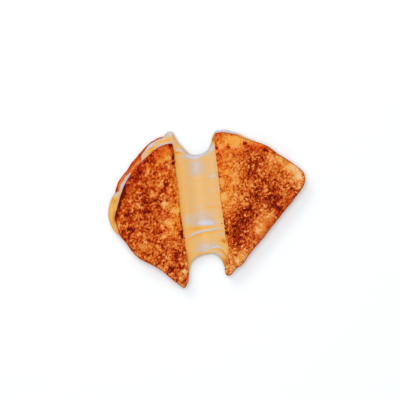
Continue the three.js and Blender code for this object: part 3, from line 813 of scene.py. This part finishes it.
def bake_slice(node, look, material, half, top, crust_spots, seed):
    """A slice of toast over a CAD node. top says whether the toasted face looks up."""
    piece = fine_copy(node, node + "_toast", look.mesh_step, SLICE_SMOOTHING)
    mesh = piece.data
    at = SlicePoints(mesh, half.side, top, seed)

    # Where the slice is toasted, crumb or crust.
    by_cut = (at.to_cut < CUT_REACH) & (np.abs(at.facing) < EDGE)
    cut = smoothed(mesh, by_cut.astype(float), CUT_SMOOTHING)
    cut *= ease_between(*CUT_START, at.to_crust)
    toasting = at.from_toasted / look.toasted_depth + TOASTING_SHIFT * at.band
    toasted_edge = 1 - ease_between(*TOASTING_END, toasting)
    toasted = np.maximum(ease_between(*TOASTED_FACING, at.facing), cut * toasted_edge)
    rim_width = look.rim_width + spot_sum(at.places, LEFT_RIM) * MM
    ragged = grain(at.places, RAGGED_SIZE, seed + 20)
    rim = 1 - ease_between(*RIM_END, at.to_crust / rim_width + RIM_SHIFT * ragged)
    crumb = np.maximum(cut * (1 - toasted_edge), at.inner * (1 - rim))
    crust = (1 - toasted) * (1 - crumb) * (1 - cut)

    # How it is coloured there.
    pattern, flecks = browning_pattern(at.places, look, half, seed)
    browning = (toasted * even_shares(pattern, at.on_face)
                + (1 - toasted) * crust_browning(at, crust_spots, seed))
    warmth, ruddiness = toast_tints(at.places, half, seed)
    glaze = np.maximum(at.inner, 1 - ease_between(*GLAZED_END, at.from_toasted))
    glaze = LEAST_GLAZE + (1 - LEAST_GLAZE) * glaze
    warmth = np.where(crust > MOSTLY, glaze, np.where(crumb > MOSTLY, cut, warmth))
    paint(mesh, browning=browning, warmth=warmth, ruddiness=ruddiness, crust=crust,
          crumb=crumb)

    # Relief: pits and grit on the toasted face, pores in the crumb, wrinkles in the crust.
    rough = grain(at.places, GRIT_SIZE, seed + 12)
    toasted_relief = look.pit_depth * np.clip(flecks, *FLECK_RELIEF) + look.grit * rough
    crust_relief = look.wrinkle * (BAND_RELIEF * at.band + WRINKLE_RELIEF * at.fine)
    swelling = look.swell * (1 - ease_between(*SWOLLEN_FACING, np.abs(at.facing)))
    height = (toasted * toasted_relief
              + crumb * crumb_relief(at, look, np.minimum(cut, crumb), rough, seed)
              + (1 - toasted) * (1 - crumb) * crust_relief + swelling)
    frayed = (grain(at.places, FRAY_SIZE, seed + 14)
              + FINE_FRAY_SHARE * grain(at.places, FINE_FRAY_SIZE, seed + 15))
    moved = at.places + at.normals * height[:, None]
    moved[:, 0] += look.fray * toasted * (1 - ease_between(*FRAY_END, at.to_cut)) * frayed
    moved[:, 2] = np.maximum(moved[:, 2], 0)
    move_points(mesh, moved)
    finish_piece(piece, material, "toast", node)


def bake_half(name, half, look):
    """Both slices of a half, in one material."""
    material = toast_material(name + "_toast", look, half.shades)
    for node in (name + "_top_slice", name + "_bottom_slice"):
        bake_slice(node, look, material, half, *SLICES[node])


# ------------------------ cheese

# The cuts that the cheese stretches between, from top to bottom, in millimetres.
LEFT_CUT = [(-34.3, 65.6), (-30.8, 35.9), (-26.3, -4.1), (-21.6, -37.1), (-18.1, -65.0)]
RIGHT_CUT = [(8.1, 75.2), (9.4, 55.9), (13.7, 15.9), (18.7, -26.1), (19.7, -49.1)]
# Creases in the stretched cheese: from, over and to, in millimetres, then width, height and
# tone. A tone below 0 is a painted highlight along the crease, towards the milky end, and one
# above 0 is a deeper orange beside it, mostly painted shade.
CREASES = [
    ((-22, -21), (-8, -19.6), (12, -17.8), 1.7, 0.1, 0.34),
    ((-20, -29.6), (-6, -23), (10, -20.4), 1.0, 0.9, -0.62),
    ((3, -21.4), (12, -19.4), (17.4, -21.4), 1.0, 0.5, -0.3),
    ((-20, -32.2), (-8, -26.2), (15, -22), 1.3, -0.2, 0.26),
    ((-12, -42), (1, -37.6), (10, -39.4), 1.6, 0.2, -0.12),
    ((-10, -44), (-4, -42), (3, -42.4), 1.5, 0.2, -0.2),
    ((6, -36.2), (13, -34.4), (19.6, -38.2), 0.9, 0.5, -0.14),
    ((7, -33.4), (14, -32.4), (20, -35), 1.0, -0.1, 0.2),
    ((4, -40.4), (12, -38.2), (18.6, -43), 0.8, 0.6, -0.5),
    ((3, -42), (12.6, -40.6), (19.4, -47.6), 0.8, -0.3, 0.5),
    ((8, -44), (14, -43.4), (18.8, -49), 0.7, 0.3, -0.1),
    ((7, -45.4), (13.6, -45.8), (19.6, -49.6), 0.9, 0.4, -0.48),
    ((19.6, -38), (21.8, -42), (20.4, -47), 0.8, -0.2, 0.3),
    ((12.6, -24.6), (15, -25.6), (18.6, -29), 1.2, 0.4, -0.36),
    ((15, -30), (17.6, -32), (19.6, -34.6), 1.3, -0.2, 0.36),
    ((-33, 59.6), (-28, 59), (-23, 56.8), 0.9, 0.6, -0.62),
    ((-32, 56.4), (-28, 56.4), (-22, 55.4), 1.3, -0.1, 0.4),
    ((-27, 61), (-13, 51.8), (3, 60), 1.5, 0.2, -0.42),
    ((-28, 53), (-20, 51.8), (-12, 51.6), 1.6, 0.1, -0.22),
    ((2.4, 58.4), (5.4, 60.6), (6.4, 67), 1.3, 0.4, -0.6),
    ((2, 31.6), (6, 32.8), (10.6, 35), 1.3, 0.3, -0.28),
    ((3, 45), (6, 45.6), (9.6, 46.2), 1.1, 0.2, -0.18),
    ((3, 26), (6, 24.8), (10, 21.6), 1.3, -0.1, 0.16),
    ((7.6, 25), (8.8, 24.4), (10.4, 23), 0.8, 0.3, -0.26),
    ((11.6, 18.6), (11.8, 21), (12, 23.6), 1.1, 0.3, -0.44),
    ((4, 4.4), (8, 4.6), (12, 5), 0.7, 0.3, -0.24),
    ((-3, 1), (6, 2), (15.6, 3.6), 1.0, -0.1, 0.2),
    ((-25, -3), (-14, -2.4), (-2, 0.6), 1.1, -0.1, 0.12),
    ((-16, 1.4), (-9, 1.6), (-3, 2.2), 0.9, 0.2, -0.12),
    ((-12, 29), (-4, 30), (6, 32), 1.0, 0.2, 0.06),
    ((-50, 60), (-43.5, 64.2), (-35, 67.2), 1.3, 0.0, -0.75),
]
# Places where the cheese's tone is drawn towards the milky end: mostly painted highlights, and
# at (2, -38) painted grey shade on the lower web.
HIGHLIGHT_AND_GREY_PLACES = [
    (-10, 42.6, 7.4, 7, 0.3), (-12.4, 36, 5, 4, 0.06), (-5, -9, 14, 8, 0.23),
    (0, -14.4, 8, 2.2, 0.52), (-19, -12, 4, 5, 0.26), (-36.5, 75.4, 4.6, 5, 0.52),
    (-46, 70.4, 4.6, 1.8, 0.6), (-91, 15, 3, 3, 0.28), (12, 78.6, 12, 2.4, 0.5),
    (7, 34, 5, 6, 0.1), (26, 77, 12, 2.2, 0.4), (2, -38, 14, 7, 0.17), (5, 62, 1.6, 4.4, 0.28),
    (-31.6, 66, 2, 2, 0.16), (-33, 67, 2.5, 5, 0.2), (-8, 55.4, 11, 2.0, 0.2),
]
# Yellow places: along the cuts and on the crust, and painted shade in the folds.
YELLOW_PLACES = [
    (-93.5, 9, 3, 4, 0.42), (-92.4, -9, 1.8, 9, 0.3), (-95, -1, 6, 7, 0.16),
    (-95, -14, 7, 12, 0.2), (-86, -26, 6, 5, 0.4), (-45, 68, 5, 2, 0.24), (-54, 60, 4, 4, 0.34),
    (-38, 70.6, 4, 2.2, 0.24), (6.4, 70, 2.6, 5, 0.58), (16, -33, 4, 7, 0.22),
    (-21, -52, 4, 9, 0.4), (19, -54, 5, 9, 0.4), (-18, -32, 3, 8, 0.04), (3, -28, 12, 3, 0.05),
    (-2, -44.6, 12, 1.8, 0.2),
]
# Where the cheese oozes further out: the place, and how far each way, in millimetres.
OOZES = [((-59, 56, 7, 6), (-2.2, 1.7)), ((-49, 65, 6, 5), (-0.4, 0.4))]
# Toast crumbs stuck in the cheese beside the cuts.
SPECKS = [(15.2, -14.4, 0.9, 0.6, 1), (-22.2, -29.4, 1.0, 0.9, 1), (-31.4, 33.4, 0.5, 0.9, 1)]

# The web is combed: its noise is long across the gap, where it is squeezed the least, and slopes
# up to the right.
COMB_SQUEEZE = (0.1, 1, 1)
COMB_SLOPE = 0.14
COMB_SIZE = 4 * MM
FINE_COMB_SIZE = 1.7 * MM
PULLED_SIZE = 2.4 * MM
PULLED_HEIGHT = 0.14 * MM
CHEESE_CLOUD_SIZE = 9 * MM
LUMP_SIZE = 5 * MM
SMEAR_SIZE = 1.8 * MM
# The usual tone, how strongly each noise shows in it, and how much deeper it is by the cuts.
TONE, TONE_CLOUDS, COMBED, FINE_COMBED = 0.42, 0.05, 0.05, 0.035
DEEPER_LEFT, DEEPER_RIGHT = 0.14, 0.07
# How deep in tone the cheese is that smears the cuts, and how much deeper its patches are.
SMEAR, SMEAR_PATCHES = 0.1, 0.5
# How far from a cut the web begins, the cheese is deeper, is smeared and climbs the bread.
WEB_START = (0, 2 * MM)
DEEP_BY_LEFT = 7 * MM
DEEP_BY_RIGHT = 4 * MM
SMEAR_REACH = 1 * MM
CLIMB_REACH = 3.2 * MM
# How much of a crease shows on the underside, the upright part of a normal over which that side
# ends, the part of a crease's length over which it rises and fades, and how strong the place of a
# speck is along its edge.
UNDERSIDE_SHARE = 0.45
UNDERSIDE_END = (-0.1, 0.5)
CREASE_SPAN = (0.03, 0.97)
SPECK_EDGE = (0.3, 0.6)
CHEESE_SMOOTHING = 12


def fold_line(start, over, end, count=24):
    """Points along a curve from start to end that passes by over, in metres."""
    t = np.linspace(0, 1, count)[:, None]
    start, over, end = (np.array(point) for point in (start, over, end))
    pull = 2 * over - (start + end) / 2
    return ((1 - t) ** 2 * start + 2 * t * (1 - t) * pull + t ** 2 * end) * MM


def cut_place(points, line):
    """How far each point lies to the right of a cut, measured across the sandwich."""
    rows = sorted((y, x) for x, y in line)
    return points[:, 0] - np.interp(points[:, 1] / MM, *zip(*rows)) * MM


def near_line(distance, reach):
    """1 on a line, less away from it, and almost 0 at twice the reach."""
    return np.exp(-(distance / reach) ** 2)


def creased(points):
    """The creases' height at each point, in metres, and their tone: painted highlights along them
    and painted shade beside them.
    """
    height, tone = np.zeros((2, len(points)))
    for start, over, end, width, rise, depth in CREASES:
        away, along = distance_to_line(points, fold_line(start, over, end))
        fading = np.sin(np.pi * np.clip(along, *CREASE_SPAN)) ** 0.5
        near = fading * near_line(away, width * MM)
        height += rise * MM * near
        # A tone below 0 paints a highlight along the crease, and above 0 paints shade beside it.
        tone += depth * near
    return height, tone


def melt_cheese(look):
    """The cheese of both halves and the web between them, over its CAD node."""
    piece = fine_copy("cheese", "melted_cheese", look.mesh_step, CHEESE_SMOOTHING)
    mesh = piece.data
    points, normals = points_and_normals(mesh)
    from_left, to_right = cut_place(points, LEFT_CUT), -cut_place(points, RIGHT_CUT)
    to_cut = np.minimum(np.abs(from_left), np.abs(to_right))
    web = ease_between(*WEB_START, from_left) * ease_between(*WEB_START, to_right)
    top_side = ease_between(*UNDERSIDE_END, normals[:, 2])
    combed = points * COMB_SQUEEZE
    combed[:, 1] -= COMB_SLOPE * points[:, 0]
    folds, crease_tone = creased(points)

    pulled = PULLED_HEIGHT * grain(combed, PULLED_SIZE, 61)
    lumps = look.lumps * grain(points, LUMP_SIZE, 62)
    moved = points + normals * ((1 - web) * (look.cling + lumps))[:, None]
    creased_share = UNDERSIDE_SHARE + (1 - UNDERSIDE_SHARE) * top_side
    moved[:, 2] += web * (folds + pulled) * creased_share
    for place, shift in OOZES:
        moved[:, :2] += spot_sum(points, [(*place, MM)])[:, None] * shift
    moved[:, 2] += look.climb * top_side * near_line(to_cut, CLIMB_REACH)
    moved[:, 2] = np.maximum(moved[:, 2], 0)

    smears = SMEAR + SMEAR_PATCHES * np.maximum(grain(points, SMEAR_SIZE, 66), 0)
    # The tone holds the cheese's own colour with painted light: highlights and shade from the
    # creases and from the listed places.
    tone = (TONE + TONE_CLOUDS * grain(points, CHEESE_CLOUD_SIZE, 63)
            + COMBED * grain(combed, COMB_SIZE, 64)
            + FINE_COMBED * grain(combed, FINE_COMB_SIZE, 65) + crease_tone
            + DEEPER_LEFT * near_line(from_left, DEEP_BY_LEFT)
            + DEEPER_RIGHT * near_line(to_right, DEEP_BY_RIGHT)
            + smears * near_line(to_cut, SMEAR_REACH)
            + spot_sum(points, YELLOW_PLACES) - spot_sum(points, HIGHLIGHT_AND_GREY_PLACES))
    specks = ease_between(*SPECK_EDGE, spot_sum(points, SPECKS))
    paint(mesh, tone=np.clip(smoothed(mesh, tone, 1), 0, 1), speck=top_side * specks)
    move_points(mesh, moved)
    finish_piece(piece, cheese_material(look), "cheese", "cheese")


# ------------------------ stage

# The camera looks straight down on this place, and takes in the view width at this level.
VIEW_MIDDLE = (-6.6 * MM, 9.0 * MM)
TOP_LEVEL = 25.5 * MM
SENSOR_WIDTH = 36.0
CAMERA_REACH = 100
# The lights' widths and places, and the floor's patches, their two tones and its finish.
OVERHEAD_SIZE, OVERHEAD_PLACE = 1.2, (-0.1, 0.1, 2.8)
KEY_SIZE, KEY_PLACE = 1.4, (-0.9, 1.4, 2.3)
PATCH_WIDTH = 0.4
FLOOR_TONES = ((0.845, 0.89, 0.925), (0.865, 0.91, 0.945))
FLOOR_ROUGHNESS, FLOOR_SHINE = 0.9, 0.1
WHITE = (1, 1, 1, 1)


def add_light(name, power, size, place):
    """A round lamp that looks at the middle of the floor."""
    data = bpy.data.lights.new(name, "AREA")
    data.shape = "DISK"
    data.size = size
    data.energy = power
    light = new_object(name, data)
    light.location = place
    light.rotation_euler = (-Vector(place)).to_track_quat("-Z", "Y").to_euler()
    light.visible_camera = False


def set_stage(look):
    scene = bpy.context.scene
    half = look.floor_size / 2
    mesh = bpy.data.meshes.new("floor")
    mesh.from_pydata([(-half, -half, 0), (half, -half, 0), (half, half, 0), (-half, half, 0)],
                     [], [(0, 1, 2, 3)])
    floor = new_object("floor", mesh)
    shading = Shading("white_floor")
    patches = shading.noise(PATCH_WIDTH, detail=1)
    shading.set(Base_Color=shading.blend(patches, *FLOOR_TONES), Roughness=FLOOR_ROUGHNESS,
                Specular_IOR_Level=FLOOR_SHINE)
    mesh.materials.append(shading.material)

    add_light("overhead", look.overhead_power, OVERHEAD_SIZE, OVERHEAD_PLACE)
    add_light("key", look.key_power, KEY_SIZE, KEY_PLACE)

    world = bpy.data.worlds.new("surroundings")
    world.use_nodes = True
    background = world.node_tree.nodes["Background"]
    background.inputs["Color"].default_value = WHITE
    background.inputs["Strength"].default_value = look.sky
    scene.world = world
    scene.view_settings.view_transform = "Standard"

    data = bpy.data.cameras.new("camera")
    data.lens = look.lens
    data.sensor_width = SENSOR_WIDTH
    data.clip_end = CAMERA_REACH
    camera = new_object("camera", data)
    away = look.view_width * look.lens / SENSOR_WIDTH
    camera.location = (*VIEW_MIDDLE, TOP_LEVEL + away)
    scene.camera = camera


# ------------------------ operators

class SANDWICH_OT_left_toast(bpy.types.Operator):
    """Toast the two slices of the left half"""
    bl_idname = "sandwich.left_toast"
    bl_label = "Left toast"

    def execute(self, context):
        bake_half("left", LEFT, context.scene.sandwich_bread)
        return {"FINISHED"}


class SANDWICH_OT_right_toast(bpy.types.Operator):
    """Toast the two slices of the right half"""
    bl_idname = "sandwich.right_toast"
    bl_label = "Right toast"

    def execute(self, context):
        bake_half("right", RIGHT, context.scene.sandwich_bread)
        return {"FINISHED"}


class SANDWICH_OT_melted_cheese(bpy.types.Operator):
    """Melt the cheese and stretch it between the halves"""
    bl_idname = "sandwich.melted_cheese"
    bl_label = "Melted cheese"

    def execute(self, context):
        melt_cheese(context.scene.sandwich_cheese)
        return {"FINISHED"}


class SANDWICH_OT_stage(bpy.types.Operator):
    """Set the floor, the lights and the camera"""
    bl_idname = "sandwich.stage"
    bl_label = "Stage"

    def execute(self, context):
        set_stage(context.scene.sandwich_stage)
        return {"FINISHED"}


OPERATORS = (SANDWICH_OT_stage, SANDWICH_OT_left_toast, SANDWICH_OT_right_toast,
             SANDWICH_OT_melted_cheese)
SETTINGS = {"sandwich_bread": BreadSettings, "sandwich_cheese": CheeseSettings,
            "sandwich_stage": StageSettings}


class SANDWICH_PT_panel(bpy.types.Panel):
    bl_label = "Grilled cheese sandwich"
    bl_idname = "SANDWICH_PT_panel"
    bl_space_type = "VIEW_3D"
    bl_region_type = "UI"
    bl_category = "Sandwich"

    def draw(self, context):
        for operator in OPERATORS:
            self.layout.operator(operator.bl_idname)
        for name, group in SETTINGS.items():
            box = self.layout.box()
            for setting in group.__annotations__:
                box.prop(getattr(context.scene, name), setting)


def register():
    for group in (*SETTINGS.values(), *OPERATORS, SANDWICH_PT_panel):
        bpy.utils.register_class(group)
    for name, group in SETTINGS.items():
        setattr(bpy.types.Scene, name, PointerProperty(type=group))


def unregister():
    for name in SETTINGS:
        delattr(bpy.types.Scene, name)
    for group in (SANDWICH_PT_panel, *reversed(OPERATORS), *SETTINGS.values()):
        bpy.utils.unregister_class(group)


def main():
    register()
    bpy.ops.sandwich.stage()
    bpy.ops.sandwich.left_toast()
    bpy.ops.sandwich.right_toast()
    bpy.ops.sandwich.melted_cheese()


if __name__ == "__main__":
    main()
